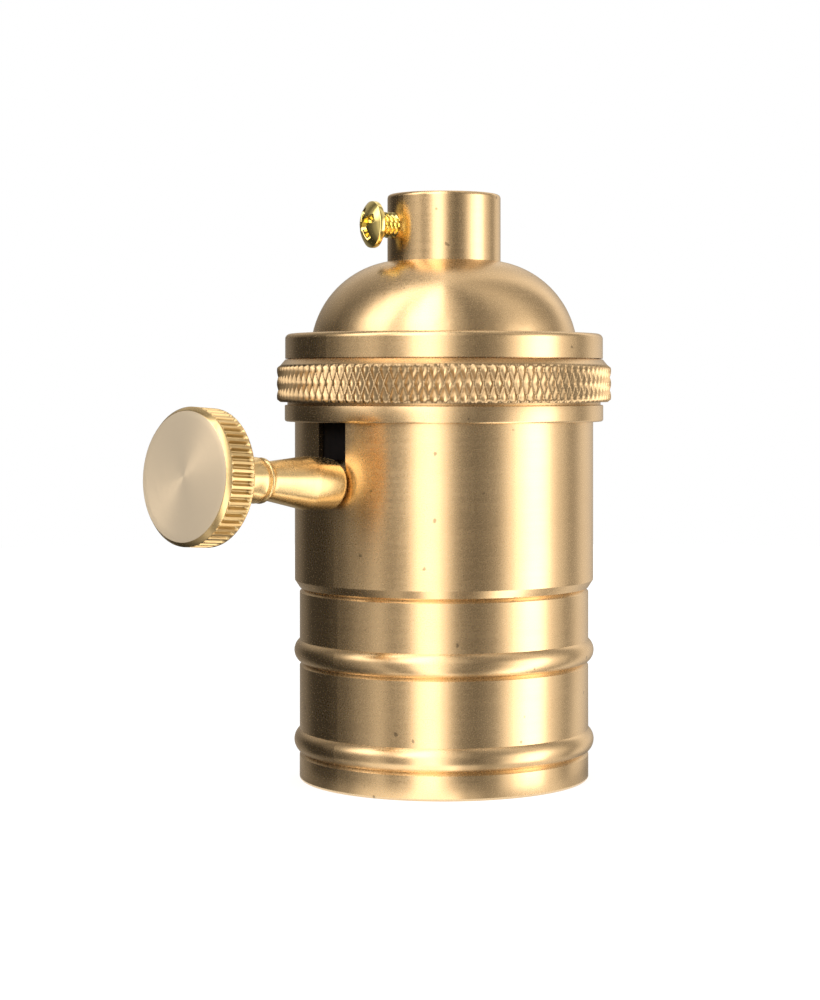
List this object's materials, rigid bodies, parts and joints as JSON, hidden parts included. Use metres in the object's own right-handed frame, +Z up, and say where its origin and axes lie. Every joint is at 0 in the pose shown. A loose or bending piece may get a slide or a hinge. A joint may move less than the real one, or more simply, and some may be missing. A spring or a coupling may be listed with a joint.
{
  "type": "lamp holder",
  "caption": "Brass lamp holder with a beaded tubular shell, knurled union ring, domed cap with a threaded neck and clamp screw, and a side knob that turns its inner switch.",
  "frame": {"origin": "centre of the open mouth's rim plane, on the axis of the shell", "axes": "+Z up the axis from the mouth to the threaded neck, +X towards the switch knob"},
  "size_m": [0.0674, 0.0448, 0.078],
  "materials": {
    "satin_brass": "satin, spun and lightly brushed round the axis",
    "turned_brass": "fine lathe-faced satin",
    "gilt_screw": "bright gilt plating",
    "porcelain": "white glaze",
    "rolled_brass": "rolled sheet, bright",
    "contact_brass": "turned and milled, plain",
    "spring_steel": "drawn wire",
    "leaf_bronze": "rolled phosphor bronze strip",
    "black_bakelite": "moulded, low gloss",
    "brown_bakelite": "moulded, low gloss",
    "steel": "zinc plated"
  },
  "bodies": {
    "holder": {"shell": "satin_brass", "lamp_body": "porcelain", "screw_shell": "rolled_brass", "contact_spring": "spring_steel", "outlet_leaf": "leaf_bronze", "live_leaf": "leaf_bronze", "neutral_strap": "leaf_bronze", "switch_housing": "black_bakelite", "switch_cover": "black_bakelite", "spindle_bush": "contact_brass", "live_terminal": "contact_brass", "neutral_terminal": "contact_brass", "terminal_screws": "steel", "shell_screws": "steel", "cover_screws": "steel"},
    "union_ring": {"knurled_ring": "satin_brass"},
    "top_cap": {"cap": "satin_brass"},
    "clamp_screw": {"neck_screw": "gilt_screw"},
    "switch_knob": {"knob": "turned_brass", "spindle": "steel", "spindle_clip": "steel", "rotor": "brown_bakelite", "rotor_contact": "contact_brass"},
    "lamp_contact": {"centre_contact": "contact_brass"}
  },
  "joints": [
    {"name": "knob_turn", "type": "hinge", "parent": "holder", "child": "switch_knob", "pos_m": [0, 0, 0.0383], "axis": [0.9976, 0, 0.0698], "continuous": true},
    {"name": "ring_turn", "type": "hinge", "parent": "holder", "child": "union_ring", "pos_m": [0, 0, 0.052], "axis": [0, 0, -1], "range_deg": [0, 1080.1]},
    {"name": "cap_lift", "type": "slide", "parent": "holder", "child": "top_cap", "axis": [0, 0, 1], "range_m": [0, 0.003]},
    {"name": "neck_screw_travel", "type": "slide", "parent": "top_cap", "child": "clamp_screw", "axis": [0.9483, -0.3173, 0], "range_m": [-0.0022, 0.0024]},
    {"name": "contact_press", "type": "slide", "parent": "holder", "child": "lamp_contact", "axis": [0, 0, 1], "range_m": [0, 0.0015], "stiffness_N_per_m": 1500, "springref_m": -0.001, "deforming": ["contact_spring"]}
  ],
  "couplings": [
    {"joint": "ring_turn", "follows": "cap_lift", "rad_per_m": 6283.2}
  ]
}
